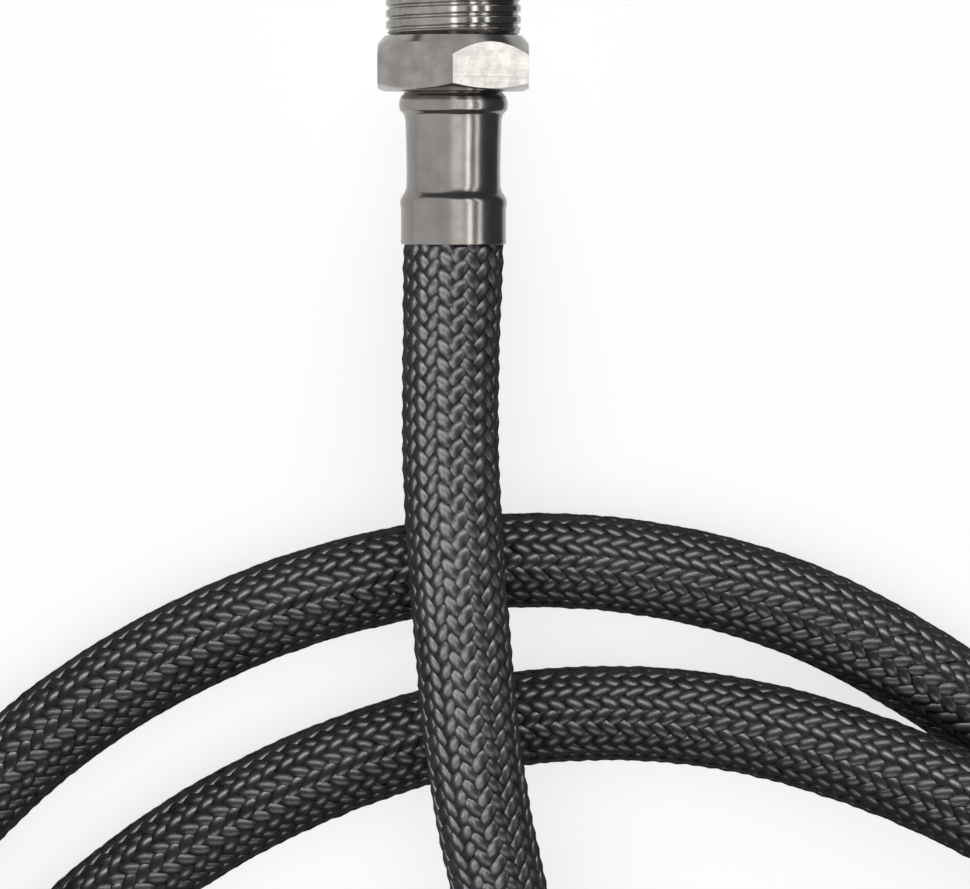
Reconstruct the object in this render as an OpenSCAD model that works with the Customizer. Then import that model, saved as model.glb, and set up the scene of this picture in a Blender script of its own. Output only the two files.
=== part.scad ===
// Braided supply line, wound into two loose turns and lying flat.
// +Z is up and the line lies on the plane Z = 0. The origin is the centre of the coil's footprint.
// Both ends are drawn along their own +Z, from the ferrule's mouth outwards, and then put in place.

/* [Hose] */
// Outside diameter of the braided cover
hose_d = 12.5; // [12.3:0.1:12.6]
// Outside diameter of the inner tube
tube_d = 10.4; // [9.8:0.1:10.6]
// Water passage through the inner tube
tube_bore = 8; // [7.8:0.1:8.2]

/* [Ferrules] */
// Length of a crimped ferrule
ferrule_len = 19.4; // [18.8:0.2:20]
// Outside diameter of the plain skirt at the mouth
skirt_d = 13.5; // [13.4:0.05:13.7]
// Outside diameter of the crimped middle
crimp_d = 12.1; // [12:0.05:12.3]
// Thickness of the sheet
ferrule_wall = 0.5; // [0.4:0.05:0.55]

/* [Male end] */
// Major diameter of the straight pipe thread
male_thread_d = 17.1; // [16.6:0.1:17.2]
// Length of the thread
male_thread_len = 12; // [10:0.5:14]
// Thread pitch, 18 per inch
male_pitch = 1.411; // [1.3:0.001:1.5]
// Hexagon across flats
male_hex_af = 19.05; // [18.8:0.05:19.2]
// Hexagon length
male_hex_len = 7; // [6:0.5:8]

/* [Swivel end] */
// Minor diameter of the nut's thread
nut_minor_d = 13.2; // [13.1:0.05:13.4]
// Nut thread pitch, 24 per inch
nut_pitch = 1.058; // [1:0.001:1.1]
// Nut across flats
nut_af = 17.46; // [17:0.02:17.6]
// Length of the nut
nut_len = 14.8; // [14.5:0.1:16]
// How far the nut slides back along its tail
nut_travel = 3.4; // [2:0.1:3.4]

/* [Water passage] */
// Bore through both end pieces
end_bore = 5.6; // [5:0.1:6]

/* [Tie] */
// Width of the coil tie
tie_w = 12; // [8:1:14]
// Thickness of the tie's strap
tie_t = 1; // [0.8:0.1:1]

/* [Hidden] */
$fn = 64;
eps = 0.01;

hose_r = hose_d / 2;
skirt_r = skirt_d / 2;
crimp_r = crimp_d / 2;
bead_r = skirt_r + 0.1;

// How far the hose reaches into a ferrule, and where the crimp starts and ends
hose_in = 18;
skirt_len = 5.6;
crimp_from = 7.4;
crimp_to = 15.2;
bead_mid = 17.8;

// The radii of the hose in the skirt and squeezed in the crimp: outside, between the layers, bore
fit_gap = 0.1;
skirt_hose_r = skirt_r - ferrule_wall - fit_gap;
squeezed = [crimp_r - ferrule_wall - fit_gap, 4.75, 4.1];
free = [hose_r, tube_d / 2 + 0.2, tube_bore / 2 + 0.1];
layer_gap = 0.1;
stem_r = 3.85;

// The swivel end's stack, measured from its ferrule's mouth
collar_to = ferrule_len + 1;
nut_back = collar_to + nut_travel + 0.2;
lip = 1.8;
play = 0.1;
ring_from = nut_back + lip + play;
ring_t = 0.5;
flange_from = ring_from + ring_t + play;
flange_t = 1.6;
seal_from = flange_from + flange_t;
seal_t = 3.5;
neck_r = 4.3;
lip_r = 4.6;
flange_r = nut_minor_d / 2 - 0.4;
relief_r = nut_minor_d / 2 + 0.5;

// Where the ferrules' mouths are, and how the two ends lie
male_mouth = [-14, 102, 13.2];
male_dip = 5;
far_mouth = [47, -131, 10.4];

// The hose's route between the two mouths, one point a line or a few points a stretch
route = [
    // over both turns
    [-14.3, 90, 14.5], [-14.4, 79, 16.3], [-14.1, 69, 18.1], [-13.4, 59, 19.4],
    [-12.5, 48, 20], [-11.5, 38, 19.7], [-10, 28, 18.6], [-8, 18, 17.2],
    // down inside the coil
    [-5.7, 3, 15.1], [-4.6, -15, 13.2], [-4.6, -34, 12.1], [-4.2, -54, 12.1],
    // round and on to the turn below
    [0, -74.5, 12.9], [11.5, -91.8, 14.6], [28.7, -103.4, 17], [49, -107.5, 19.2],
    [69.5, -103.4, 19.8], [86.8, -91.8, 20.1], [98.4, -74.4, 20.3], [102.5, -54, 20.4],
    [99.5, -32, 20.3], [94, -13, 20.1], [85, 4.5, 19.8], [71, 18.5, 18.8],
    // off it and over the top, inner turn
    [54.5, 28.7, 15.8], [37.5, 35.5, 12.2], [21.5, 39.2, 9.2], [6, 40.1, 7.2],
    [-12, 38.1, 6.3], [-30, 32.5, 6.25], [-49, 22.6, 6.25], [-66, 8.8, 6.25],
    [-79.5, -8.3, 6.25], [-87.6, -28, 6.25], [-89.5, -49, 6.25], [-84.4, -73, 6.25],
    [-69, -96, 6.25], [-44.5, -112, 6.25], [-16, -118.5, 6.25], [8, -118, 6.25],
    [30, -115, 6.25], [50.5, -110.3, 6.25], [69.7, -103.4, 6.3], [86.8, -91.8, 6.6],
    [98.4, -74.4, 7.2], [102.5, -54, 7.5], [100.8, -33, 7.2], [96, -14, 6.6],
    // over the top again, outer turn
    [88, 3.5, 6.3], [77, 19.2, 6.25], [63.3, 33, 6.25], [48, 44.5, 6.25],
    [30, 54, 6.25], [11, 59, 6.25], [-8, 60, 6.25], [-27, 57, 6.25],
    [-46, 50.1, 6.25], [-64, 39.5, 6.25], [-80, 24.7, 6.25], [-93, 5.5, 6.25],
    [-101, -18, 6.25], [-103.4, -44, 6.25], [-97.5, -77, 6.25], [-78.5, -105.5, 6.25],
    [-50, -125, 6.25], [-16, -132, 6.4], [6, -132, 7.7], [23, -131.2, 9.3], [35, -131, 10.2]
];

// Where the tie goes round the two turns, at the right-hand side
tie_at = [102.5, -54];
tie_low = 7.5;
tie_high = 20.4;
tie_room = 0.5;

// Places a piece drawn along +Z at an end, and the same for a point on its axis
male_axis = [0, cos(male_dip), -sin(male_dip)];
far_axis = [1, 0, 0];
function male_at(w) = male_mouth + w * male_axis;
function far_at(w) = far_mouth + w * far_axis;
module at_male() translate(male_mouth) rotate([-90 - male_dip, 0, 0]) children();
module at_far() translate(far_mouth) rotate([0, 90, 0]) rotate([0, 0, 90]) children();

// A smooth curve through the points, with a ring about every ring_step, or tie_step at the tie
ring_step = 18;
tie_step = 6;
function by_tie(p) = norm([p.x, p.y] - tie_at) < 5;
function unit(v) = v / norm(v);
function slope(p, i) =
    let (a = p[i] - p[i - 1], b = p[i + 1] - p[i])
    unit(a / norm(a) * norm(b) + b / norm(b) * norm(a));
function hermite(p, q, u, v, t) =
    (2 * t * t * t - 3 * t * t + 1) * p + (t * t * t - 2 * t * t + t) * u
    + (3 * t * t - 2 * t * t * t) * q + (t * t * t - t * t) * v;
function on_floor(p) = [p.x, p.y, max(p.z, hose_r)];

ways = concat([male_at(hose_in), male_mouth], route, [far_mouth, far_at(hose_in)]);
last = len(ways) - 1;
middle = [
    for (i = [1 : last - 2])
        let (h = norm(ways[i + 1] - ways[i]),
             n = max(1, round(h / (by_tie(ways[i]) || by_tie(ways[i + 1]) ? tie_step : ring_step))))
        for (j = [0 : n - 1])
            on_floor(hermite(ways[i], ways[i + 1],
                             h * slope(ways, i), h * slope(ways, i + 1), j / n))
];
centres = concat(
    [male_at(hose_in), male_at(crimp_from + 0.3), male_at(skirt_len - 0.2)],
    middle,
    [far_mouth, far_at(skirt_len - 0.2), far_at(crimp_from + 0.3), far_at(hose_in)]
);
rings = len(centres);

// 1 where a ring is squeezed by a crimp, 2 where it is in a skirt, 0 where it is free
function held(k) =
    k < 2 || k > rings - 3 ? 1 : k < 3 || k > rings - 4 ? 2 : 0;
function layer_r(k, layer) =
    held(k) == 1 ? squeezed[layer]
    : held(k) == 2 && layer == 0 ? min(free[0], skirt_hose_r)
    : free[layer];

// One ring of points round centre k: sideways stays level, so the sections don't twist
function ring(k, r, sides) =
    let (
        ahead = unit(centres[min(k + 1, rings - 1)] - centres[max(k - 1, 0)]),
        side = unit(cross(ahead, [0, 0, 1])),
        up = cross(side, ahead)
    )
    [for (a = [0 : sides - 1])
        centres[k] + r * (cos(360 * a / sides) * side + sin(360 * a / sides) * up)];

// A hollow tube along the route, between two layers of the hose
module hose_layer(outer, inner, gap, sides) {
    skins = [for (s = [0, 1]) for (k = [0 : rings - 1]) each
        ring(k, s == 0 ? layer_r(k, outer) - gap : layer_r(k, inner), sides)];
    function at(s, k, a) = (s * rings + k) * sides + a % sides;
    walls = [for (k = [0 : rings - 2]) for (a = [0 : sides - 1]) each [
        [at(0, k, a), at(0, k, a + 1), at(0, k + 1, a + 1), at(0, k + 1, a)],
        [at(1, k, a + 1), at(1, k, a), at(1, k + 1, a), at(1, k + 1, a + 1)]
    ]];
    ends = [for (a = [0 : sides - 1]) each [
        [at(0, 0, a + 1), at(0, 0, a), at(1, 0, a), at(1, 0, a + 1)],
        [at(0, rings - 1, a), at(0, rings - 1, a + 1),
         at(1, rings - 1, a + 1), at(1, rings - 1, a)]
    ]];
    polyhedron(skins, concat(walls, ends), convexity = 10);
}

// Ridges round a stem, each rising to r towards the hose's free end
function barbs(r, from, to, n) =
    let (step = (to - from) / n)
    [for (i = [0 : n - 1]) each [[r, from + i * step + 0.3], [r - 0.45, from + (i + 1) * step]]];

// Ridges of a thread on the outside of a bar, as plain rings with flat crests
module crests(r, depth, pitch, from, to) {
    n = floor((to - from) / pitch);
    rotate_extrude()
        for (i = [0 : n - 1])
            translate([0, from + (i + 0.5) * pitch])
                polygon([[r - depth - 0.4, -pitch * 0.42], [r - depth, -pitch * 0.42],
                         [r, -pitch * 0.12], [r, pitch * 0.12],
                         [r - depth, pitch * 0.42], [r - depth - 0.4, pitch * 0.42]]);
}

// A hexagonal bar whose corners are turned off at both ends, with a corner up and down
module turned_hex(af, from, to, end_r, corner_r) {
    intersection() {
        translate([0, 0, from]) rotate([0, 0, 90]) cylinder(d = af / cos(30), h = to - from, $fn = 6);
        rotate_extrude()
            polygon([[0, from], [end_r[0], from], [corner_r, from + (corner_r - end_r[0]) * 0.6],
                     [corner_r, to - (corner_r - end_r[1]) * 0.9], [end_r[1], to], [0, to]]);
    }
}

module ferrule() {
    w = ferrule_wall;
    rotate_extrude()
        polygon([
            [skirt_r - w, 0], [skirt_r, 0], [skirt_r, skirt_len], [crimp_r, crimp_from],
            [crimp_r, crimp_to], [bead_r, bead_mid - 0.8], [bead_r, bead_mid + 0.7],
            [bead_r - 0.5, ferrule_len], [stem_r + 0.6, ferrule_len],
            [stem_r + 0.6, ferrule_len - w], [bead_r - 0.5 - w, ferrule_len - w],
            [bead_r - w, bead_mid + 0.5], [bead_r - w, bead_mid - 0.5],
            [crimp_r - w, crimp_to + 0.3], [crimp_r - w, crimp_from - 0.1],
            [skirt_r - w, skirt_len - 0.1]
        ]);
}

module male_fitting() {
    hex_from = ferrule_len;
    hex_to = hex_from + male_hex_len;
    end = hex_to + male_thread_len;
    r = male_thread_d / 2;
    depth = 0.61 * male_pitch;
    color([0.62, 0.6, 0.58]) at_male() difference() {
        union() {
            rotate_extrude()
                polygon(concat([[0, 1]], [[stem_r - 0.45, 1]], barbs(stem_r, 1.5, 16.5, 5),
                               [[stem_r, 17], [stem_r, hex_from + 1], [0, hex_from + 1]]));
            turned_hex(male_hex_af, hex_from, hex_to, [7.6, 8.8], male_hex_af / 2 / cos(30));
            translate([0, 0, hex_to - eps]) cylinder(r = r - depth, h = male_thread_len + eps);
            crests(r, depth, male_pitch, hex_to + 0.5, end - 0.2);
        }
        cylinder(d = end_bore, h = 3 * end, center = true);
    }
}

module male_ferrule() color([0.55, 0.53, 0.51]) at_male() ferrule();

module far_ferrule() color([0.55, 0.53, 0.51]) at_far() ferrule();

module inner_tube() color([0.85, 0.85, 0.8]) hose_layer(1, 2, layer_gap + 0.2, 8);

module yarn_braid() color([0.2, 0.2, 0.21]) hose_layer(0, 1, 0, 10);

module tail_piece() {
    color([0.7, 0.68, 0.62]) at_far() difference() {
        rotate_extrude()
            polygon(concat([[0, 1]], [[stem_r - 0.45, 1]], barbs(stem_r, 1.5, 16.5, 5), [
                [stem_r, 17], [stem_r, ferrule_len], [bead_r - 1, ferrule_len],
                [bead_r - 1, collar_to], [neck_r, collar_to], [neck_r, flange_from],
                [flange_r, flange_from], [flange_r, seal_from], [0, seal_from]
            ]));
        cylinder(d = end_bore, h = 3 * seal_from, center = true);
    }
}

module cone_seal() {
    color([0.12, 0.12, 0.12]) at_far() rotate_extrude()
        polygon([
            [end_bore / 2 + 0.3, seal_from], [flange_r - 0.1, seal_from],
            [flange_r - 0.1, seal_from + 0.8], [flange_r - 1.8, seal_from + seal_t],
            [end_bore / 2 + 0.3, seal_from + seal_t]
        ]);
}

module slip_ring() {
    color([0.9, 0.9, 0.88]) at_far() translate([0, 0, ring_from]) difference() {
        cylinder(r = flange_r, h = ring_t);
        cylinder(r = lip_r, h = 3 * ring_t, center = true);
    }
}

module swivel_nut() {
    r = nut_minor_d / 2;
    depth = 0.51 * nut_pitch;
    front = nut_back + nut_len;
    thread_from = seal_from + seal_t + 0.2;
    turns = floor((front - thread_from) / nut_pitch);
    color([0.66, 0.65, 0.63]) at_far() difference() {
        turned_hex(nut_af, nut_back, front, [8, 8.2], nut_af / 2 / cos(30));
        translate([0, 0, nut_back - 1]) cylinder(r = lip_r, h = nut_len);
        translate([0, 0, nut_back + lip]) cylinder(r = r, h = nut_len);
        translate([0, 0, nut_back + lip]) cylinder(r = relief_r, h = thread_from - nut_back - lip);
        rotate_extrude()
            for (i = [0 : turns - 1])
                translate([0, thread_from + (i + 0.5) * nut_pitch])
                    polygon([[r - 0.4, -nut_pitch * 0.36], [r, -nut_pitch * 0.36],
                             [r + depth, -nut_pitch * 0.1], [r + depth, nut_pitch * 0.1],
                             [r, nut_pitch * 0.36], [r - 0.4, nut_pitch * 0.36]]);
    }
}

// The tie's loop seen from the end: two half circles and the straight sides between them
module tie_loop(r) {
    translate([0, tie_low]) circle(r = r);
    translate([0, tie_high]) circle(r = r);
    translate([-r, tie_low]) square([2 * r, tie_high - tie_low]);
}

module coil_tie() {
    r = hose_r + tie_room;
    color([0.1, 0.1, 0.11]) translate([tie_at.x, tie_at.y + tie_w / 2, 0]) rotate([90, 0, 0])
        linear_extrude(tie_w) difference() {
            union() {
                tie_loop(min(r + tie_t, tie_low));
                translate([r, tie_low]) square([2 * tie_t, tie_high - tie_low - 1]);
            }
            tie_loop(r);
        }
}

male_fitting();
male_ferrule();
inner_tube();
yarn_braid();
far_ferrule();
tail_piece();
cone_seal();
slip_ring();
swivel_nut();
coil_tie();
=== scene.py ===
import math

import bmesh
import bpy
import numpy
from mathutils import Matrix, Vector


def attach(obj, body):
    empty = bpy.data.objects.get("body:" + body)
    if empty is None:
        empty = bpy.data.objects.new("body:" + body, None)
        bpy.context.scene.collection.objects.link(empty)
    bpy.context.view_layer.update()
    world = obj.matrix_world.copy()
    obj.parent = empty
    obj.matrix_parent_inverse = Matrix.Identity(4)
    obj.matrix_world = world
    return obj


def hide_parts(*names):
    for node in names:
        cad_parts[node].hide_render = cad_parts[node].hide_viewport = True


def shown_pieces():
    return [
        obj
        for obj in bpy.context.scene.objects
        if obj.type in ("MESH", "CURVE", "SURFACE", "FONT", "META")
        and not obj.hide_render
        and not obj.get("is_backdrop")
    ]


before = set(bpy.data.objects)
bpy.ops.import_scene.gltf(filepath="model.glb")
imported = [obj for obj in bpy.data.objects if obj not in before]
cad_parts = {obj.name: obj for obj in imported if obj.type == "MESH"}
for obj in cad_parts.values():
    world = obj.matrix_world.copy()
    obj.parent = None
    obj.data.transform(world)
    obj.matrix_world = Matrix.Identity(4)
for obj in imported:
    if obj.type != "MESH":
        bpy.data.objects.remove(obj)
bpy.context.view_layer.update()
mm = 0.001

cameraView = {
    "aim": (-10, 76, 11),   # mm, the point in the middle of the frame
    "distance": 600,        # mm
    "tilt": 8.4,            # degrees off straight down, towards +Y
    "lens": 173.6,          # focal length, mm
}

tilt = math.radians(cameraView["tilt"])
camera = bpy.data.objects.new("camera", bpy.data.cameras.new("camera"))
bpy.context.collection.objects.link(camera)
camera.data.lens = cameraView["lens"]
camera.data.clip_start = 0.01
camera.data.clip_end = 20
camera.rotation_euler = (-tilt, 0, 0)
camera.location = (Vector(cameraView["aim"])
                   + Vector((0, math.sin(tilt), math.cos(tilt))) * cameraView["distance"]) * mm
bpy.context.scene.camera = camera
bpy.context.scene.view_settings.view_transform = "Standard"
print("camera ready")


def toLinear(hexColour):
    parts = [int(hexColour[i:i + 2], 16) / 255 for i in (1, 3, 5)]
    return tuple(p / 12.92 if p <= 0.04045 else ((p + 0.055) / 1.055) ** 2.4 for p in parts) + (1.0,)


def connect(tree, node, inputs):
    # an input is a value or another node's socket
    for socket, value in inputs.items():
        if isinstance(value, bpy.types.NodeSocket):
            tree.links.new(value, node.inputs[socket])
        else:
            node.inputs[socket].default_value = value


def addNode(tree, kind, inputs=None, **settings):
    node = tree.nodes.new(kind)
    for field, value in settings.items():
        setattr(node, field, value)
    connect(tree, node, inputs or {})
    return node


def startMaterial(name):
    material = bpy.data.materials.new(name)
    material.use_nodes = True
    tree = material.node_tree
    tree.nodes.clear()
    shader = addNode(tree, "ShaderNodeBsdfPrincipled")
    addNode(tree, "ShaderNodeOutputMaterial", {"Surface": shader.outputs[0]})
    return material, tree, shader


hose = {
    "radius": 6.25,         # over the yarn, mm
    "reach": 18,            # how far it goes into each ferrule, mm
    "maleMouth": (-14, 102, 13.2),
    "maleDip": 5,           # degrees that the male end points down
    "farMouth": (47, -131, 10.4),
    "sample": 1.5,          # between points of the worked-out centre line, mm
}

dip = math.radians(hose["maleDip"])
maleAxis = Vector((0, math.cos(dip), -math.sin(dip)))
farAxis = Vector((1, 0, 0))
maleMouth = Vector(hose["maleMouth"])
farMouth = Vector(hose["farMouth"])

route = [
    # over both turns
    (-14.3, 90, 14.5), (-14.4, 79, 16.3), (-14.1, 69, 18.1), (-13.4, 59, 19.4),
    (-12.5, 48, 20), (-11.5, 38, 19.7), (-10, 28, 18.6), (-8, 18, 17.2),
    # down inside the coil
    (-5.7, 3, 15.1), (-4.6, -15, 13.2), (-4.6, -34, 12.1), (-4.2, -54, 12.1),
    # round and on to the turn below
    (0, -74.5, 12.9), (11.5, -91.8, 14.6), (28.7, -103.4, 17), (49, -107.5, 19.2),
    (69.5, -103.4, 19.8), (86.8, -91.8, 20.1), (98.4, -74.4, 20.3), (102.5, -54, 20.4),
    (99.5, -32, 20.3), (94, -13, 20.1), (85, 4.5, 19.8), (71, 18.5, 18.8),
    # off it and over the top, inner turn
    (54.5, 28.7, 15.8), (37.5, 35.5, 12.2), (21.5, 39.2, 9.2), (6, 40.1, 7.2),
    (-12, 38.1, 6.3), (-30, 32.5, 6.25), (-49, 22.6, 6.25), (-66, 8.8, 6.25),
    (-79.5, -8.3, 6.25), (-87.6, -28, 6.25), (-89.5, -49, 6.25), (-84.4, -73, 6.25),
    (-69, -96, 6.25), (-44.5, -112, 6.25), (-16, -118.5, 6.25), (8, -118, 6.25),
    (30, -115, 6.25), (50.5, -110.3, 6.25), (69.7, -103.4, 6.3), (86.8, -91.8, 6.6),
    (98.4, -74.4, 7.2), (102.5, -54, 7.5), (100.8, -33, 7.2), (96, -14, 6.6),
    # over the top again, outer turn
    (88, 3.5, 6.3), (77, 19.2, 6.25), (63.3, 33, 6.25), (48, 44.5, 6.25),
    (30, 54, 6.25), (11, 59, 6.25), (-8, 60, 6.25), (-27, 57, 6.25),
    (-46, 50.1, 6.25), (-64, 39.5, 6.25), (-80, 24.7, 6.25), (-93, 5.5, 6.25),
    (-101, -18, 6.25), (-103.4, -44, 6.25), (-97.5, -77, 6.25), (-78.5, -105.5, 6.25),
    (-50, -125, 6.25), (-16, -132, 6.4), (6, -132, 7.7), (23, -131.2, 9.3), (35, -131, 10.2),
]


def throughPoints(points, step):
    # a smooth curve through the points, sampled about every step
    ways = [Vector(p) for p in points]
    slopes = [(ways[1] - ways[0]).normalized()]
    for last, here, after in zip(ways, ways[1:], ways[2:]):
        come, go = here - last, after - here
        slopes.append((come.normalized() * go.length + go.normalized() * come.length).normalized())
    slopes.append((ways[-1] - ways[-2]).normalized())
    line = []
    for i in range(len(ways) - 1):
        chord = (ways[i + 1] - ways[i]).length
        count = max(1, round(chord / step))
        for t in (j / count for j in range(count)):
            line.append(ways[i] * (2 * t ** 3 - 3 * t ** 2 + 1)
                        + slopes[i] * chord * (t ** 3 - 2 * t ** 2 + t)
                        + ways[i + 1] * (3 * t ** 2 - 2 * t ** 3)
                        + slopes[i + 1] * chord * (t ** 3 - t ** 2))
    line.append(ways[-1])
    return line


centreLine = throughPoints([maleMouth + maleAxis * hose["reach"], maleMouth] + route
                           + [farMouth, farMouth + farAxis * hose["reach"]], hose["sample"])
centres = numpy.array([(p.x, p.y, max(p.z, hose["radius"])) for p in centreLine])
lengths = numpy.concatenate([[0], numpy.cumsum(numpy.linalg.norm(numpy.diff(centres, axis=0), axis=1))])
hoseLength = float(lengths[-1])
ahead = numpy.gradient(centres, lengths, axis=0)
ahead /= numpy.linalg.norm(ahead, axis=1)[:, None]
sideways = numpy.cross(ahead, (0, 0, 1))
sideways /= numpy.linalg.norm(sideways, axis=1)[:, None]
upwards = numpy.cross(sideways, ahead)
freeFrom = hose["reach"]
freeTo = hoseLength - hose["reach"]
print(f"hose is {hoseLength:.1f} mm long, {freeTo - freeFrom:.1f} mm of it free")


grip = {
    "pinched": 0.88,        # radius in a crimp against the free hose
    "opening": 0.115,       # how much it opens towards the mouth
    "opensAt": 2.2,         # how far inside the mouth it does, mm
    "opensOver": 0.5,
    "swelling": 0.028,      # how much it swells just outside the mouth
    "swellsAt": 3,          # mm outside
    "swellsOver": 7,
}


def fullness(along):
    # radius against the free hose: pinched in the crimps, a little swollen outside the mouths
    inside = numpy.minimum(along - freeFrom, freeTo - along)
    opened = 1 / (1 + numpy.exp(-(inside + grip["opensAt"]) / grip["opensOver"]))
    swollen = numpy.exp(-((inside - grip["swellsAt"]) / grip["swellsOver"]) ** 2) * (inside > -1)
    return grip["pinched"] + grip["opening"] * opened + grip["swelling"] * swollen


def alongHose(table, along):
    return [numpy.interp(along, lengths, table[:, i]) for i in range(3)]


def onHose(along, angle, out):
    # places points given by their length along the hose, angle round it and distance from its middle
    reach = out * fullness(along)
    spot, side, up = alongHose(centres, along), alongHose(sideways, along), alongHose(upwards, along)
    return numpy.stack([spot[i] + reach * (numpy.cos(angle) * side[i] + numpy.sin(angle) * up[i])
                        for i in range(3)], axis=-1) * mm


braid = {
    "wales": 22,            # columns of floats round the hose, half leaning each way
    "pitch": 2.28,          # from one float to the next along a column, mm
    "lean": 43,             # degrees between a yarn and the hose
    "floatHalf": 2.3,       # half a float's length with its tucked ends, mm
    "yarnWide": 1.82,
    "yarnThick": 0.42,
    "crest": 6.25,          # top of a float, from the hose's middle, mm
    "tuck": 0.62,           # how far a float's ends go down, mm
    "flatness": 0.6,        # 1 is a round yarn, less is a flatter ribbon
    "slant": 0.2,           # how far the ends are cut towards the hose's length
    "under": 2.5,           # how far the floats go on inside each ferrule, mm
    "clear": 0.03,          # lowest point above the floor, mm
    "coreRadius": 5.62,
    "coreRings": 700,
    "pieces": 5,
    "seed": 11,
}

# how much one float differs from the next, as standard deviations
unevenness = {
    "along": 0.05,          # mm
    "angle": 0.008,         # radians round the hose
    "lean": 0.035,          # radians
    "wide": 0.04,           # of its width
    "lift": 0.03,           # mm
}


def yarnMaterial():
    # filament polyester yarn, spun-dyed charcoal and braided: fine filaments side by side, so its soft
    # gloss is drawn out across them
    material, tree, shader = startMaterial("braidedPolyesterYarn")
    lines = addNode(tree, "ShaderNodeUVMap", uv_map="yarnLines")
    stretched = addNode(tree, "ShaderNodeMapping", {"Vector": lines.outputs[0], "Scale": (9, 0.7, 1)})
    filaments = addNode(tree, "ShaderNodeTexNoise", {"Vector": stretched.outputs[0], "Scale": 1.0,
                                                     "Detail": 2.0, "Roughness": 0.6})
    tone = addNode(tree, "ShaderNodeAttribute", attribute_name="yarnTone")
    mixed = addNode(tree, "ShaderNodeMath", {0: filaments.outputs["Fac"], 1: 0.35}, operation="MULTIPLY")
    summed = addNode(tree, "ShaderNodeMath", {0: tone.outputs["Fac"], 1: mixed.outputs[0]},
                     operation="ADD")
    colours = addNode(tree, "ShaderNodeValToRGB", {"Fac": summed.outputs[0]})
    colours.color_ramp.elements[0].position = 0.1
    colours.color_ramp.elements[0].color = toLinear("#111113")
    colours.color_ramp.elements[1].position = 0.95
    colours.color_ramp.elements[1].color = toLinear("#2a2a2e")
    ridges = addNode(tree, "ShaderNodeBump", {"Height": filaments.outputs["Fac"], "Strength": 0.5,
                                              "Distance": 0.00006})
    across = addNode(tree, "ShaderNodeTangent", direction_type="UV_MAP", uv_map="yarnLines")
    connect(tree, shader, {"Base Color": colours.outputs[0], "Roughness": 0.36, "IOR": 1.57,
                           "Specular IOR Level": 0.8, "Anisotropic": 0.6, "Tangent": across.outputs[0],
                           "Normal": ridges.outputs[0]})
    return material


def coreMaterial():
    # the same yarn where it passes under, rough, and coloured darker than the floats: the yarn's own charcoal
    # with painted shade for the gaps between the floats
    material, tree, shader = startMaterial("underlyingYarn")
    where = addNode(tree, "ShaderNodeTexCoord")
    threads = addNode(tree, "ShaderNodeTexNoise", {"Vector": where.outputs["Object"], "Scale": 1400.0,
                                                   "Detail": 2.0})
    # darker than the floats' colours: painted shade in the gaps between the floats
    colours = addNode(tree, "ShaderNodeValToRGB", {"Fac": threads.outputs["Fac"]})
    colours.color_ramp.elements[0].color = toLinear("#0f0f11")
    colours.color_ramp.elements[1].color = toLinear("#1d1d20")
    fuzz = addNode(tree, "ShaderNodeBump", {"Height": threads.outputs["Fac"], "Strength": 0.4,
                                            "Distance": 0.0001})
    connect(tree, shader, {"Base Color": colours.outputs[0], "Roughness": 0.7, "IOR": 1.57,
                           "Normal": fuzz.outputs[0]})
    return material


def floatShape():
    # one float lying along Y, flattened, with its ends narrowed and tucked down
    bm = bmesh.new()
    bmesh.ops.create_uvsphere(bm, u_segments=6, v_segments=6, radius=1.0)
    bmesh.ops.rotate(bm, verts=bm.verts, matrix=Matrix.Rotation(math.radians(90), 3, "X"))
    for v in bm.verts:
        t = v.co.y
        fat = math.sqrt(max(0, 1 - t * t))
        across, above = (v.co.x / fat, v.co.z / fat) if fat > 1e-6 else (0, 0)
        spread = max(0.0, 1 - abs(t) ** 3.6) ** 0.8
        arch = 1 - abs(t) ** 2.6
        wide = math.copysign(abs(across) ** braid["flatness"], across) * spread * braid["yarnWide"] / 2
        v.co = (wide, t * braid["floatHalf"] - braid["slant"] * wide,
                above * spread * braid["yarnThick"] / 2 - braid["tuck"] * (1 - arch))
    bm.verts.index_update()
    points = numpy.array([v.co[:] for v in bm.verts])
    faces = [[v.index for v in f.verts] for f in bm.faces]
    bm.free()
    return points, faces


def layFloats(shape, row, wale, drift):
    # where the points of every float come, and which way each one leans
    x, y, z = shape[:, 0], shape[:, 1], shape[:, 2]
    count = len(row)
    way = numpy.where(wale % 2 == 0, 1, -1)
    along = (freeFrom - braid["under"] + (row + 0.5 * (wale % 2)) * braid["pitch"]
             + drift.normal(0, unevenness["along"], count))
    angle = (math.pi / 2 + (wale - 0.5) * 2 * math.pi / braid["wales"]
             + drift.normal(0, unevenness["angle"], count))
    turn = math.radians(braid["lean"]) + drift.normal(0, unevenness["lean"], count)
    wide = drift.normal(1, unevenness["wide"], count)[:, None]
    lift = drift.normal(0, unevenness["lift"], count)[:, None]
    cosTurn, sinTurn = numpy.cos(turn)[:, None], numpy.sin(turn)[:, None]
    down = y * cosTurn - x * wide * sinTurn
    around = (y * sinTurn + x * wide * cosTurn) * way[:, None]
    out = braid["crest"] - braid["yarnThick"] / 2 + z + lift
    place = onHose(along[:, None] + down, angle[:, None] + around / braid["crest"], out)
    place[..., 2] = numpy.maximum(place[..., 2], braid["clear"] * mm)
    return place.reshape(-1, 3), way


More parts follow.
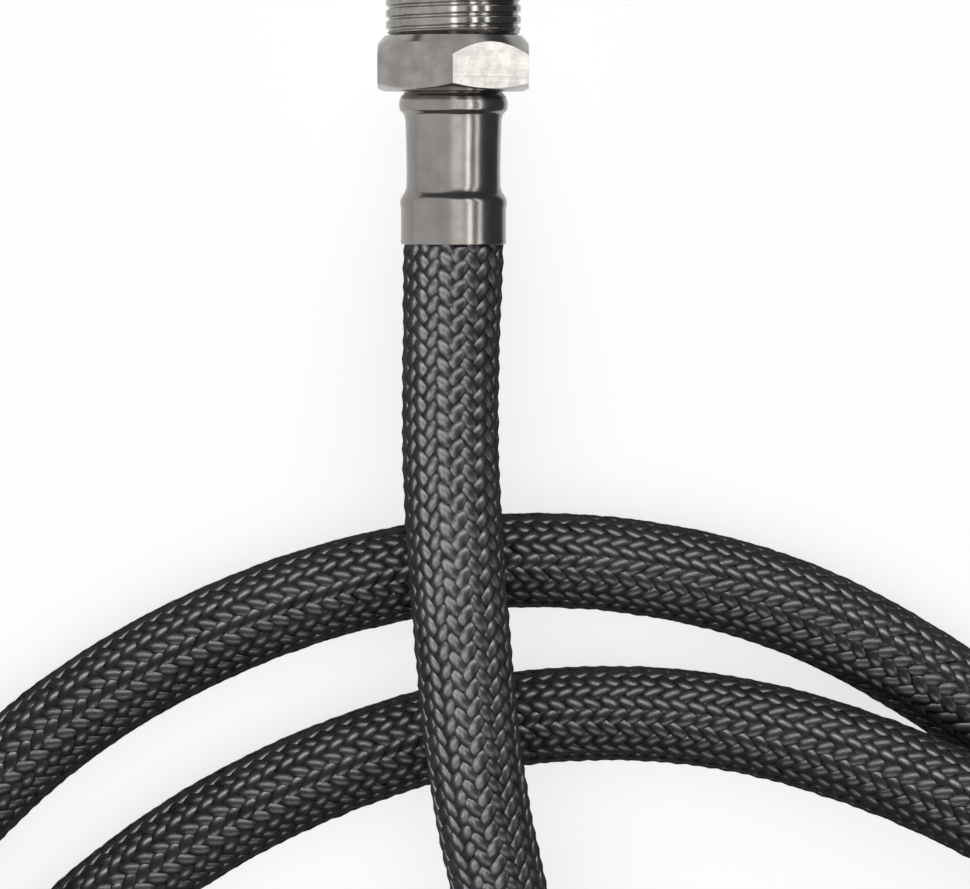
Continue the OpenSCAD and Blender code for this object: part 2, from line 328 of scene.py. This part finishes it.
def braidFloats():
    # the operator-made float is copied by the thousand, each bent to its place on the hose
    shape, faces = floatShape()
    size = len(shape)
    drift = numpy.random.RandomState(braid["seed"])
    rows = int((hoseLength - 2 * hose["reach"] + 2 * braid["under"]) / braid["pitch"])
    material = yarnMaterial()
    made = []
    tones = drift.uniform(0.1, 0.5, (2, braid["wales"]))
    for piece in range(braid["pieces"]):
        start, stop = rows * piece // braid["pieces"], rows * (piece + 1) // braid["pieces"]
        row, wale = numpy.meshgrid(numpy.arange(start, stop), numpy.arange(braid["wales"]), indexing="ij")
        row, wale = row.ravel(), wale.ravel()
        count = len(row)
        place, way = layFloats(shape, row, wale, drift)
        mesh = bpy.data.meshes.new(f"braid_yarn_{piece + 1}")
        mesh.from_pydata(place.tolist(), [], [[i + n * size for i in (f if way[n] > 0 else f[::-1])]
                                              for n in range(count) for f in faces])
        shift = numpy.repeat(drift.uniform(0, 40, (count, 2)), size, axis=0)
        flat = numpy.tile(shape[:, :2], (count, 1)) + shift
        corners = numpy.empty(len(mesh.loops), dtype=numpy.int32)
        mesh.loops.foreach_get("vertex_index", corners)
        mesh.uv_layers.new(name="yarnLines").data.foreach_set("uv", flat[corners].ravel())
        yarn = (wale // 2 + row // 2 * way) % braid["wales"]
        tone = tones[wale % 2, yarn] + drift.uniform(0, 0.15, count)
        mesh.attributes.new("yarnTone", "FLOAT", "POINT").data.foreach_set("value", numpy.repeat(tone, size))
        mesh.polygons.foreach_set("use_smooth", [True] * len(mesh.polygons))
        mesh.materials.append(material)
        made.append(bpy.data.objects.new(mesh.name, mesh))
        bpy.context.collection.objects.link(made[-1])
        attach(made[-1], "line")
    return made


def braidCore():
    curve = bpy.data.curves.new("braid_core", "CURVE")
    curve.dimensions = "3D"
    curve.bevel_depth = braid["coreRadius"] * mm
    curve.bevel_resolution = 4
    curve.use_fill_caps = True
    spots = numpy.linspace(0, hoseLength, braid["coreRings"])
    spline = curve.splines.new("POLY")
    spline.points.add(len(spots) - 1)
    x, y, z = alongHose(centres * mm, spots)
    thick = fullness(spots)
    for i, point in enumerate(spline.points):
        point.co = (x[i], y[i], z[i], 1)
        point.radius = thick[i]
    curve.materials.append(coreMaterial())
    core = bpy.data.objects.new("braid_core", curve)
    bpy.context.collection.objects.link(core)
    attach(core, "line")
    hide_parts("yarn_braid")
    return core


core = braidCore()
floats = braidFloats()
print(f"braid made in {len(floats)} pieces")


# both ends are made upright, mouth at the origin, and laid on the hose by these
maleEnd = (Matrix.Translation(maleMouth * mm)
           @ Matrix.Rotation(math.radians(-90 - hose["maleDip"]), 4, "X"))
farEnd = (Matrix.Translation(farMouth * mm) @ Matrix.Rotation(math.radians(90), 4, "Y")
          @ Matrix.Rotation(math.radians(90), 4, "Z"))


def turned(bm, outline, steps=96):
    # spins a closed outline of (radius, distance along the axis) in mm
    spots = [bm.verts.new((r * mm, 0, w * mm)) for r, w in outline]
    edges = [bm.edges.new((spots[i - 1], spots[i])) for i in range(len(spots))]
    bmesh.ops.spin(bm, geom=spots + edges, cent=(0, 0, 0), axis=(0, 0, 1), angle=2 * math.pi,
                   steps=steps, use_merge=True)


def rounded(outline, steps=3):
    # turns the corners of a closed outline that carry a radius into short curves
    points = []
    for i, (r, w, soft) in enumerate(outline):
        here = Vector((r, w))
        before, after = Vector(outline[i - 1][:2]), Vector(outline[(i + 1) % len(outline)][:2])
        if soft == 0:
            points.append((r, w))
            continue
        start = here.lerp(before, min(0.48, soft / (before - here).length))
        end = here.lerp(after, min(0.48, soft / (after - here).length))
        for j in range(steps + 1):
            t = j / steps
            spot = start * (1 - t) ** 2 + here * 2 * t * (1 - t) + end * t ** 2
            points.append((spot.x, spot.y))
    return points


def hexagon(bm, flats, start, end, startRadius, endRadius, slopes, bore):
    # a hexagonal bar with a bore, its corners turned off towards both ends
    corner = flats / 2 / math.cos(math.radians(30))
    edge = 2                # length left for the turned-off corners, mm
    fresh = len(bm.verts)
    turned(bm, [(bore, start), (startRadius, start), (corner, start + edge), (corner, end - edge),
                (endRadius, end), (bore, end)], 120)
    bm.verts.ensure_lookup_table()
    for v in bm.verts[fresh:]:
        if math.hypot(v.co.x, v.co.y) < (corner - 0.01) * mm:
            continue
        fromFlat = (math.degrees(math.atan2(v.co.y, v.co.x)) - 90) % 60 - 30
        radius = flats / 2 / math.cos(math.radians(fromFlat))
        if v.co.z < (start + end) / 2 * mm:
            height = start + (radius - startRadius) * slopes[0]
        else:
            height = end - (radius - endRadius) * slopes[1]
        scale = radius * mm / math.hypot(v.co.x, v.co.y)
        v.co = (v.co.x * scale, v.co.y * scale, height * mm)


# one turn of a thread: (part of the pitch, height from root to crest)
threadForm = [(0, 0), (0.06, 0.06), (0.12, 0.3), (0.2, 0.85), (0.27, 1), (0.73, 1), (0.8, 0.85),
              (0.88, 0.3), (0.94, 0.06)]


def setRadius(v, radius):
    # moves a point straight out from the axis to a radius in metres
    now = math.hypot(v.co.x, v.co.y)
    v.co.x *= radius / now
    v.co.y *= radius / now


def threadTube(bm, crest, root, plain, pitch, start, end, taper):
    # a right-handed thread from start to end on a tube whose other wall is plain
    steps = 72
    outward = math.copysign(1, crest - root)
    fresh = bmesh.new()
    turns = int((end - start) / pitch) + 3
    spots = [fresh.verts.new(((root + (crest - root) * h) * mm, 0, (start + (k - 1 + at) * pitch) * mm))
             for k in range(turns) for at, h in threadForm]
    edges = [fresh.edges.new((spots[i], spots[i + 1])) for i in range(len(spots) - 1)]
    bmesh.ops.spin(fresh, geom=spots + edges, cent=(0, 0, 0), axis=(0, 0, 1), angle=2 * math.pi,
                   steps=steps, dvec=(0, 0, pitch * mm / steps), use_merge=False)
    low, high = start * mm, end * mm
    for v in fresh.verts:
        radius = math.hypot(v.co.x, v.co.y) / mm
        inside = max(0.0, min(v.co.z - low, high - v.co.z)) / mm
        limit = root + outward * (inside * 1.1 - taper)
        setRadius(v, (min(radius, limit) if outward > 0 else max(radius, limit)) * mm)
        v.co.z = min(max(v.co.z, low), high)
    bmesh.ops.remove_doubles(fresh, verts=fresh.verts, dist=0.000004)
    rims = [e for e in fresh.edges if e.is_boundary]
    inner = []
    for level in (low, high):
        rim = [e for e in rims if all(abs(v.co.z - level) < 1e-7 for v in e.verts)]
        grown = bmesh.ops.extrude_edge_only(fresh, edges=rim)["geom"]
        for v in (g for g in grown if isinstance(g, bmesh.types.BMVert)):
            setRadius(v, plain * mm)
        inner += [g for g in grown if isinstance(g, bmesh.types.BMEdge) and g.is_boundary]
    bmesh.ops.bridge_loops(fresh, edges=inner)
    mesh = bpy.data.meshes.new("thread")
    fresh.to_mesh(mesh)
    fresh.free()
    bm.from_mesh(mesh)
    bpy.data.meshes.remove(mesh)


def softEdges(piece, name, width, angle):
    bevel = piece.modifiers.new(name, "BEVEL")
    bevel.width = width * mm
    bevel.segments = 2
    bevel.limit_method = "ANGLE"
    bevel.angle_limit = math.radians(angle)
    return bevel


def finishPiece(name, bm, body, material, standsFor, place=None, edges=0.0, sharp=32):
    bmesh.ops.remove_doubles(bm, verts=bm.verts, dist=0.000001)
    bmesh.ops.recalc_face_normals(bm, faces=bm.faces)
    if place is not None:
        bmesh.ops.transform(bm, matrix=place, verts=bm.verts)
    mesh = bpy.data.meshes.new(name)
    bm.to_mesh(mesh)
    bm.free()
    mesh.polygons.foreach_set("use_smooth", [True] * len(mesh.polygons))
    mesh.set_sharp_from_angle(angle=math.radians(sharp))
    mesh.materials.append(material)
    piece = bpy.data.objects.new(name, mesh)
    bpy.context.collection.objects.link(piece)
    if edges:
        softEdges(piece, "broken edges", edges, sharp).harden_normals = True
    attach(piece, body)
    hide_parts(standsFor)
    return piece


def axisLines(tree, place, perMm, around):
    # noise drawn out round the axis of an end (turning marks) or along it (drawing marks)
    where = addNode(tree, "ShaderNodeTexCoord")
    local = addNode(tree, "ShaderNodeMapping", {"Vector": where.outputs["Object"],
                                                "Rotation": place.inverted().to_euler()})
    fine, long = perMm / mm, 60.0
    scale = (long, long, fine) if around else (fine, fine, long)
    drawn = addNode(tree, "ShaderNodeMapping", {"Vector": local.outputs[0], "Scale": scale})
    return where, addNode(tree, "ShaderNodeTexNoise", {"Vector": drawn.outputs[0], "Scale": 1.0,
                                                       "Detail": 3.0, "Roughness": 0.65})


def metalMaterial(name, place, finish):
    material, tree, shader = startMaterial(name)
    where, lines = axisLines(tree, place, finish["linesPerMm"], finish["around"])
    clouds = addNode(tree, "ShaderNodeTexNoise", {"Vector": where.outputs["Object"],
                                                  "Scale": 1 / (finish["cloudSize"] * mm),
                                                  "Detail": 4.0, "Roughness": 0.55})
    tint = addNode(tree, "ShaderNodeValToRGB", {"Fac": clouds.outputs["Fac"]})
    for stop, side, colour in zip(tint.color_ramp.elements, (-1, 1), finish["colours"]):
        stop.position = 0.5 + side * finish["cloudSoft"]
        stop.color = toLinear(colour)
    gloss = addNode(tree, "ShaderNodeMapRange", {"Value": lines.outputs["Fac"], "From Min": 0.3,
                                                 "From Max": 0.7, "To Min": finish["rough"][0],
                                                 "To Max": finish["rough"][1]})
    scratches = addNode(tree, "ShaderNodeBump", {"Height": lines.outputs["Fac"],
                                                 "Strength": finish["marks"], "Distance": 0.00002})
    connect(tree, shader, {"Base Color": tint.outputs[0], "Metallic": 1.0, "Roughness": gloss.outputs[0],
                           "Normal": scratches.outputs[0]})
    return material


# machined bar, barrel-plated: bright, with faint turning marks and a mottled shine on the flats
maleMetal = metalMaterial("turnedNickelPlate", maleEnd, {
    "colours": ("#8f8c88", "#a3a09b"), "rough": (0.13, 0.2), "linesPerMm": 11, "around": True,
    "marks": 0.12, "cloudSoft": 0.12, "cloudSize": 2.2})
# deep-drawn stainless sheet, tumbled: satin, a little darker and warmer than the plated bar
sheetFinish = {
    "colours": ("#8a8682", "#9b9793"), "rough": (0.19, 0.27), "linesPerMm": 12, "around": False,
    "marks": 0.08, "cloudSoft": 0.2, "cloudSize": 3.0}
maleSheet = metalMaterial("drawnStainlessSheet", maleEnd, sheetFinish)
farSheet = metalMaterial("drawnStainlessSheetFar", farEnd, sheetFinish)
# plated in bulk after turning: duller than the male end, with plain turning marks
nutMetal = metalMaterial("nickelPlatedNut", farEnd, {
    "colours": ("#97938d", "#aaa6a0"), "rough": (0.2, 0.3), "linesPerMm": 9, "around": True,
    "marks": 0.25, "cloudSoft": 0.15, "cloudSize": 2.5})
# bare turned brass: yellow and satin, the same turning marks
tailMetal = metalMaterial("turnedBrass", farEnd, {
    "colours": ("#b08d4c", "#c7a260"), "rough": (0.22, 0.34), "linesPerMm": 9, "around": True,
    "marks": 0.3, "cloudSoft": 0.2, "cloudSize": 3.0})


ferrule = {
    # outside, from the mouth to the hexagon: radius, distance, softening
    "outside": [
        (6.62, 0.0, 0.12), (6.72, 0.3, 0.15), (6.67, 0.9, 0.3), (6.67, 4.6, 0.5), (6.8, 5.2, 0.35),
        (6.72, 5.85, 0.35), (6.2, 6.6, 0.3), (5.97, 7.3, 0.25), (5.95, 9.5, 0.8), (6.0, 12.6, 1.0),
        (6.1, 15.75, 0.12), (6.2, 16.2, 0.25), (6.35, 16.6, 0.25), (6.8, 16.95, 0.35),
        (6.93, 17.8, 0.5), (6.75, 18.65, 0.4), (6.3, 19.1, 0.2), (6.2, 19.35, 0.1)],
    # and back along the inside
    "inside": [
        (4.5, 19.35, 0), (4.5, 18.9, 0), (5.9, 18.8, 0.2), (6.3, 17.8, 0.3), (5.5, 15.6, 0.3),
        (5.42, 9.4, 0.5), (5.55, 7.2, 0.3), (6.2, 5.8, 0.3), (6.2, 0.3, 0)],
}


def makeFerrule(node, place, material):
    bm = bmesh.new()
    turned(bm, rounded(ferrule["outside"] + ferrule["inside"], 4), 128)
    return finishPiece(node + "_pressed", bm, "line", material, node, place, sharp=50)


stem = {
    # the barbed stem that the tube is pushed on, the same on both ends
    "bore": 2.8, "radius": 3.85, "neck": 3.4, "start": 1, "barbs": 5, "barbPitch": 3, "end": 17,
}


def barbedStem():
    # the outline's points from the bore's end over the barbs
    points = [(stem["bore"], stem["start"], 0.1), (stem["neck"], stem["start"], 0.2)]
    for i in range(stem["barbs"]):
        points += [(stem["radius"], 1.8 + stem["barbPitch"] * i, 0.1),
                   (stem["neck"], 4.5 + stem["barbPitch"] * i, 0)]
    return points + [(stem["radius"], stem["end"], 0)]


male = {
    "start": 19.4, "hexEnd": 26.4, "end": 38.4,     # along the axis from the ferrule's mouth, mm
    "flats": 19.05, "hexStartRadius": 8.9, "hexEndRadius": 8.7, "slopes": (0.42, 1.1),
    "crest": 8.55, "root": 8.2, "pitch": 1.411, "taper": 0.25,
}


def makeMaleFitting():
    bm = bmesh.new()
    hexagon(bm, male["flats"], male["start"], male["hexEnd"], male["hexStartRadius"], male["hexEndRadius"],
            male["slopes"], stem["bore"])
    threadTube(bm, male["crest"], male["root"], stem["bore"], male["pitch"], male["hexEnd"] - 0.05,
               male["end"], male["taper"])
    stemEnd = male["start"] + 0.5
    turned(bm, rounded(barbedStem() + [(stem["radius"], stemEnd, 0), (stem["bore"], stemEnd, 0)]), 48)
    return finishPiece("male_fitting_turned", bm, "line", maleMetal, "male_fitting", maleEnd,
                       edges=0.09, sharp=24)


far = {
    # along the axis from the ferrule's mouth and out from it, mm
    "collarStart": 19.4, "collarEnd": 20.4, "collar": 5.85, "neck": 4.3,
    "flangeStart": 26.5, "flange": 6.2, "sealStart": 28.1, "sealEnd": 31.6,
    "ringStart": 25.9, "ringEnd": 26.4, "lipRadius": 4.6, "lipWall": 7.4,
    "nutStart": 24.0, "nutEnd": 38.8, "nutFlats": 17.46, "relief": 7.1,
    "minor": 6.6, "major": 7.14, "pitch": 1.058, "threadStart": 31.8,
}


def makeTailPiece():
    bm = bmesh.new()
    turned(bm, rounded(barbedStem() + [
        (stem["radius"], far["collarStart"], 0), (far["collar"], far["collarStart"], 0.15),
        (far["collar"], far["collarEnd"], 0.2), (far["neck"], far["collarEnd"], 0.15),
        (far["neck"], far["flangeStart"], 0.1), (far["flange"], far["flangeStart"], 0.15),
        (far["flange"], far["sealStart"], 0.15), (stem["bore"], far["sealStart"], 0.1)]), 96)
    return finishPiece("tail_piece_turned", bm, "line", tailMetal, "tail_piece", farEnd)


def makeNut():
    bm = bmesh.new()
    hexagon(bm, far["nutFlats"], far["nutStart"], far["nutEnd"], 8.0, 8.2, (0.6, 0.6), far["relief"] + 0.15)
    # the lip that pulls on the slip ring, and the plain wall in front of it
    lipEnd, wallEnd = far["nutStart"] + 1.8, far["threadStart"] + 0.1
    turned(bm, rounded([
        (far["lipRadius"], far["nutStart"] + 0.15, 0.15), (far["lipWall"], far["nutStart"] + 0.05, 0),
        (far["lipWall"], wallEnd, 0), (far["relief"], wallEnd, 0),
        (far["relief"], lipEnd, 0), (far["lipRadius"], lipEnd, 0.15)]), 96)
    threadTube(bm, far["minor"], far["major"], far["relief"] + 0.4, far["pitch"], far["threadStart"],
               far["nutEnd"] - 0.02, 0.1)
    return finishPiece("swivel_nut_turned", bm, "swivel_nut", nutMetal, "swivel_nut", farEnd,
                       edges=0.1, sharp=24)


def makeSeal():
    # moulded nitrile rubber: matt black with a slight bloom
    material, tree, shader = startMaterial("mouldedNitrileRubber")
    where = addNode(tree, "ShaderNodeTexCoord")
    bloom = addNode(tree, "ShaderNodeTexNoise", {"Vector": where.outputs["Object"], "Scale": 700.0,
                                                 "Detail": 3.0})
    tint = addNode(tree, "ShaderNodeValToRGB", {"Fac": bloom.outputs["Fac"]})
    tint.color_ramp.elements[0].color = toLinear("#161617")
    tint.color_ramp.elements[1].color = toLinear("#2a2a2b")
    grain = addNode(tree, "ShaderNodeBump", {"Height": bloom.outputs["Fac"], "Strength": 0.3,
                                             "Distance": 0.00004})
    connect(tree, shader, {"Base Color": tint.outputs[0], "Roughness": 0.72, "IOR": 1.52,
                           "Normal": grain.outputs[0]})
    bm = bmesh.new()
    turned(bm, rounded([(3.1, far["sealStart"], 0.1), (6.1, far["sealStart"], 0.15),
                        (6.1, far["sealStart"] + 0.8, 0.3), (4.4, far["sealEnd"], 0.35),
                        (3.1, far["sealEnd"], 0.3)]), 80)
    return finishPiece("cone_seal_moulded", bm, "line", material, "cone_seal", farEnd)


def makeSlipRing():
    # stamped PTFE sheet: waxy white, with a faint smear
    material, tree, shader = startMaterial("stampedPtfe")
    where = addNode(tree, "ShaderNodeTexCoord")
    smear = addNode(tree, "ShaderNodeTexNoise", {"Vector": where.outputs["Object"], "Scale": 900.0,
                                                 "Detail": 2.0})
    tint = addNode(tree, "ShaderNodeValToRGB", {"Fac": smear.outputs["Fac"]})
    tint.color_ramp.elements[0].color = toLinear("#d9d8d2")
    tint.color_ramp.elements[1].color = toLinear("#efeee9")
    connect(tree, shader, {"Base Color": tint.outputs[0], "Roughness": 0.42, "IOR": 1.38})
    bm = bmesh.new()
    turned(bm, rounded([(far["lipRadius"], far["ringStart"], 0.1), (far["flange"], far["ringStart"], 0.12),
                        (far["flange"], far["ringEnd"], 0.12), (far["lipRadius"], far["ringEnd"], 0.1)],
                       2), 80)
    return finishPiece("slip_ring_stamped", bm, "slip_ring", material, "slip_ring", farEnd)


makeMaleFitting()
makeFerrule("male_ferrule", maleEnd, maleSheet)
farPieces = [makeFerrule("far_ferrule", farEnd, farSheet), makeTailPiece(), makeSeal(), makeSlipRing(),
             makeNut()]
print("metal ready")


tie = {
    "at": (102.5, -54), "low": 7.5, "high": 20.4,    # where the two turns' middles are, mm
    "wide": 11.4, "thick": 0.95,
    "loop": 6.85,           # from a turn's middle to the strap's
    "lap": 1.02,            # how far out the overlapping end lies
    "tabEnd": 18.9,         # how high the lapped end reaches, mm
}


def tieMaterial():
    # woven nylon tape with a napped face, hooked on itself: matt black with a fuzzy shine
    material, tree, shader = startMaterial("wovenHookAndLoopTape")
    where = addNode(tree, "ShaderNodeTexCoord")
    picks = addNode(tree, "ShaderNodeTexWave", {"Vector": where.outputs["Object"], "Scale": 480.0,
                                                "Distortion": 1.5, "Detail": 1.0}, bands_direction="Y")
    nap = addNode(tree, "ShaderNodeTexVoronoi", {"Vector": where.outputs["Object"], "Scale": 2600.0})
    fuzz = addNode(tree, "ShaderNodeTexNoise", {"Vector": where.outputs["Object"], "Scale": 5200.0,
                                                "Detail": 3.0})
    tall = addNode(tree, "ShaderNodeMath", {0: nap.outputs["Distance"], 1: fuzz.outputs["Fac"]},
                   operation="MULTIPLY")
    height = addNode(tree, "ShaderNodeMath", {0: picks.outputs["Fac"], 1: 0.35, 2: tall.outputs[0]},
                     operation="MULTIPLY_ADD")
    tint = addNode(tree, "ShaderNodeValToRGB", {"Fac": height.outputs[0]})
    tint.color_ramp.elements[0].color = toLinear("#0d0d0f")
    tint.color_ramp.elements[1].color = toLinear("#2b2b2f")
    loops = addNode(tree, "ShaderNodeBump", {"Height": height.outputs[0], "Strength": 0.8,
                                             "Distance": 0.00025})
    connect(tree, shader, {"Base Color": tint.outputs[0], "Roughness": 0.8, "IOR": 1.53, "Sheen Weight": 0.25,
                           "Normal": loops.outputs[0]})
    return material


def tiePath():
    # (side, height, rise) round the two turns and on over the start; side and rise are in loop radii
    bend = [math.pi * k / 14 for k in range(1, 14)]
    low, high, tabEnd = tie["low"], tie["high"], tie["tabEnd"]
    return ([(1, z, 0) for z in (low + 1, 12, 16, high)]
            + [(math.cos(a), high, math.sin(a)) for a in bend]
            + [(-1, z, 0) for z in (high, 17, 14, 11, low)]
            + [(-math.cos(a), low, -math.sin(a)) for a in bend]
            + [(1, z, 0) for z in (low, 9, 10.5, 12.5, 14.5, 16.5, tabEnd - 0.9, tabEnd - 0.3, tabEnd)])


def makeTie():
    path = tiePath()
    lapFrom = len(path) - 16        # from here the strap moves out over its own start
    bm = bmesh.new()
    across = [-1, -0.96, -0.9, -0.5, 0, 0.5, 0.9, 0.96, 1]
    row = None
    for i, (side, z, rise) in enumerate(path):
        out = tie["loop"] + tie["lap"] * min(1.0, max(0.0, (i - lapFrom) / 7))
        fromEnd = tie["tabEnd"] - z if i > len(path) - 5 else 9
        narrow = 1 if fromEnd > 0.9 else 0.93 + 0.07 * math.sqrt(max(0, fromEnd / 0.9))
        spots = [Vector((tie["at"][0] + side * out, tie["at"][1] + a * narrow * tie["wide"] / 2,
                         z + rise * out)) * mm for a in across]
        if row is None:
            row = [bm.verts.new(p) for p in spots]
            edges = [bm.edges.new(pair) for pair in zip(row, row[1:])]
            continue
        grown = bmesh.ops.extrude_edge_only(bm, edges=edges)["geom"]
        row = sorted((g for g in grown if isinstance(g, bmesh.types.BMVert)), key=lambda v: v.co.y)
        edges = [g for g in grown if isinstance(g, bmesh.types.BMEdge) and all(v in row for v in g.verts)]
        for v, p in zip(row, spots):
            v.co = p
    bmesh.ops.recalc_face_normals(bm, faces=bm.faces)
    bmesh.ops.solidify(bm, geom=bm.faces[:], thickness=tie["thick"] * mm)
    piece = finishPiece("coil_tie_strap", bm, "line", tieMaterial(), "coil_tie", sharp=60)
    softEdges(piece, "soft edges", 0.22, 50)
    return piece


farPieces.append(makeTie())
print("tie ready")


def tubeMaterial():
    # extruded polyethylene: milky white and matt, hidden inside the braid
    material, tree, shader = startMaterial("extrudedPolyethylene")
    where = addNode(tree, "ShaderNodeTexCoord")
    haze = addNode(tree, "ShaderNodeTexNoise", {"Vector": where.outputs["Object"], "Scale": 300.0,
                                                "Detail": 2.0})
    tint = addNode(tree, "ShaderNodeValToRGB", {"Fac": haze.outputs["Fac"]})
    tint.color_ramp.elements[0].color = toLinear("#d2d1c8")
    tint.color_ramp.elements[1].color = toLinear("#e4e3dc")
    connect(tree, shader, {"Base Color": tint.outputs[0], "Roughness": 0.55, "IOR": 1.51})
    return material


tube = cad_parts["inner_tube"]
tube.data.materials.clear()
tube.data.materials.append(tubeMaterial())


def stageFloor():
    # matt white board
    material, tree, shader = startMaterial("mattWhiteBoard")
    connect(tree, shader, {"Base Color": toLinear("#f4f4f4"), "Roughness": 0.9, "Specular IOR Level": 0.1})
    bm = bmesh.new()
    bmesh.ops.create_grid(bm, x_segments=1, y_segments=1, size=3.0)
    mesh = bpy.data.meshes.new("floor")
    bm.to_mesh(mesh)
    bm.free()
    mesh.materials.append(material)
    floor = bpy.data.objects.new("floor", mesh)
    bpy.context.collection.objects.link(floor)
    # the hose and the metal are lit by the softboxes alone, without light thrown up by the board
    floor.visible_glossy = False
    floor.visible_diffuse = False
    floor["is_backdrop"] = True
    return floor


def gather(name, objects):
    # a collection that only says what a light falls on
    group = bpy.data.collections.new(name)
    for member in objects:
        group.objects.link(member)
    return group


def softbox(name, aim, direction, distance, size, brightness, lit, blockedBy=None):
    # direction is from the aim to the light, size is how wide it is on the level and how high,
    # and brightness is what a mirror would show of it
    light = bpy.data.lights.new(name, "AREA")
    light.shape = "RECTANGLE"
    light.size, light.size_y = size
    light.energy = brightness * size[0] * size[1] * math.pi
    lamp = bpy.data.objects.new(name, light)
    bpy.context.collection.objects.link(lamp)
    toLight = Vector(direction).normalized()
    lamp.location = Vector(aim) * mm + toLight * distance
    lamp.rotation_euler = toLight.to_track_quat("Z", "Y").to_euler()
    lamp.visible_camera = False
    lamp.light_linking.receiver_collection = lit
    if blockedBy is not None:
        lamp.light_linking.blocker_collection = blockedBy


floor = stageFloor()
metalNames = ("male", "far", "tail", "swivel", "cone", "slip")
metalPieces = [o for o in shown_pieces() if o.name.startswith(metalNames)]
yarnPieces = [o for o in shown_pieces() if o not in metalPieces]
onFloor = gather("lit floor", [floor])
onMetal = gather("lit metal", metalPieces)
onSheet = gather("lit ferrules", [o for o in metalPieces if "ferrule" in o.name])
onTurned = gather("lit turned metal", [o for o in metalPieces if "ferrule" not in o.name])
onFarEnd = gather("lit far end", farPieces)
onYarn = gather("lit yarn", yarnPieces)
onLead = gather("lit lead", [floats[0]])

byLead, byTurns, byMetal = (-10, 40, 12), (-10, 20, 10), (-14, 120, 13)
softbox("floor wash", (0, 0, 0), (0, 0, 1), 5, (9, 9), 2.0, onFloor, onFloor)
softbox("lead high", byLead, (-0.28, 0, 0.96), 0.9, (0.6, 0.18), 11.0, onLead)
softbox("lead low", byLead, (-0.79, 0, 0.62), 0.9, (0.6, 0.26), 10.0, onLead)
softbox("turns back", byTurns, (0, 0.79, 0.62), 0.9, (1.6, 0.16), 14.0, onYarn)
softbox("turns front", byTurns, (0, -0.68, 0.73), 0.9, (1.0, 0.14), 7.0, onYarn)
softbox("yarn side", byTurns, (1, -0.1, 0.2), 0.9, (0.5, 0.3), 2.0, onYarn)
softbox("metal left", byMetal, (-0.64, 0, 0.77), 0.9, (2.4, 3.4), 0.8, onMetal)
softbox("metal back", byMetal, (0, 0.95, 0.3), 1.0, (3.4, 1.2), 0.75, onTurned, onMetal)
softbox("under metal", byMetal, (-0.3, 0, -0.95), 0.9, (3, 3), 0.75, onMetal, onMetal)
softbox("far front", (60, -131, 10), (0.1, -0.95, 0.3), 1.0, (2.4, 1.2), 0.6, onFarEnd)
softbox("sheet glow", byMetal, (0.26, 0, 0.97), 0.95, (1.6, 0.65), 0.7, onSheet)
softbox("top strip", byMetal, (0.03, 0, 1), 0.95, (1.6, 0.12), 4.0, onTurned)
softbox("near strip", byMetal, (0.6, 0, 0.8), 0.95, (1.6, 0.11), 5.0, onMetal)
softbox("low strip", byMetal, (0.86, 0, 0.5), 0.95, (1.6, 0.09), 4.0, onMetal)

# a room that is dim round the hose and pale to look at
world = bpy.data.worlds.new("studio")
bpy.context.scene.world = world
world.use_nodes = True
path = addNode(world.node_tree, "ShaderNodeLightPath")
level = addNode(world.node_tree, "ShaderNodeMath", {0: path.outputs["Is Camera Ray"], 1: 0.75, 2: 0.1},
                operation="MULTIPLY_ADD")
connect(world.node_tree, world.node_tree.nodes["Background"],
        {"Color": toLinear("#f4f6ff"), "Strength": level.outputs[0]})
print("stage ready")
